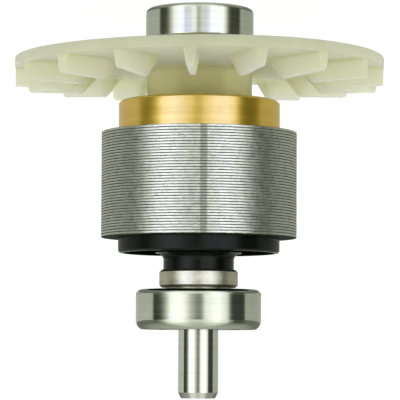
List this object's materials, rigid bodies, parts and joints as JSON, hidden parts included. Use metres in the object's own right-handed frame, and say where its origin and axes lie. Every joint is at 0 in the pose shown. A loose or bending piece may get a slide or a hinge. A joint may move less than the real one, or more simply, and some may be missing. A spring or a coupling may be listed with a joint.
{
  "type": "motor rotor",
  "caption": "Rotor of a small brushless motor: laminated core with buried magnets, radial fan, brass balance ring, insulating end moulding and a ball bearing at each end of the shaft.",
  "frame": {"origin": "middle of the rear bearing's outer face, on which the rotor stands", "axes": "+Z along the shaft, from the rear bearing past the fan and the core to the output stub"},
  "size_m": [0.065, 0.065, 0.0685],
  "materials": {
    "hardened_steel": "ground",
    "fan_nylon": "satin, translucent, cream-green",
    "brass": "fine turned",
    "sheet_steel": "punched sheet edges, ground outside",
    "magnet_alloy": "nickel plated",
    "black_resin": "moulded, semi-matt",
    "sintered_iron": "sintered, fine grain",
    "bearing_steel": "ground and lapped",
    "shield_steel": "pressed sheet",
    "ball_steel": "polished",
    "cage_nylon": "moulded"
  },
  "bodies": {
    "rotor": {"shaft": "hardened_steel", "fan": "fan_nylon", "balance_ring": "brass", "rotor_core": "sheet_steel", "magnet_1": "magnet_alloy", "magnet_2": "magnet_alloy", "magnet_3": "magnet_alloy", "magnet_4": "magnet_alloy", "end_moulding": "black_resin", "spacer_collar": "sintered_iron", "front_bearing_inner_ring": "bearing_steel", "rear_bearing_inner_ring": "bearing_steel"},
    "front_outer": {"front_bearing_outer_ring": "bearing_steel", "front_bearing_inner_shield": "shield_steel", "front_bearing_outer_shield": "shield_steel"},
    "front_ball_set": {"front_bearing_cage": "cage_nylon", "front_bearing_ball_1": "ball_steel", "front_bearing_ball_2": "ball_steel", "front_bearing_ball_3": "ball_steel", "front_bearing_ball_4": "ball_steel", "front_bearing_ball_5": "ball_steel", "front_bearing_ball_6": "ball_steel", "front_bearing_ball_7": "ball_steel"},
    "rear_outer": {"rear_bearing_outer_ring": "bearing_steel", "rear_bearing_inner_shield": "shield_steel", "rear_bearing_outer_shield": "shield_steel"},
    "rear_ball_set": {"rear_bearing_cage": "cage_nylon", "rear_bearing_ball_1": "ball_steel", "rear_bearing_ball_2": "ball_steel", "rear_bearing_ball_3": "ball_steel", "rear_bearing_ball_4": "ball_steel", "rear_bearing_ball_5": "ball_steel", "rear_bearing_ball_6": "ball_steel", "rear_bearing_ball_7": "ball_steel"}
  },
  "joints": [
    {"name": "front_outer_spin", "type": "hinge", "parent": "rotor", "child": "front_outer", "pos_m": [0, 0, 0.053], "axis": [0, 0, 1], "continuous": true},
    {"name": "front_ball_set_spin", "type": "hinge", "parent": "rotor", "child": "front_ball_set", "pos_m": [0, 0, 0.053], "axis": [0, 0, 1], "continuous": true},
    {"name": "rear_outer_spin", "type": "hinge", "parent": "rotor", "child": "rear_outer", "pos_m": [0, 0, 0.003], "axis": [0, 0, 1], "continuous": true},
    {"name": "rear_ball_set_spin", "type": "hinge", "parent": "rotor", "child": "rear_ball_set", "pos_m": [0, 0, 0.003], "axis": [0, 0, 1], "continuous": true}
  ],
  "couplings": [
    {"joint": "front_ball_set_spin", "follows": "front_outer_spin", "ratio": 0.63686},
    {"joint": "rear_ball_set_spin", "follows": "rear_outer_spin", "ratio": 0.63462}
  ]
}
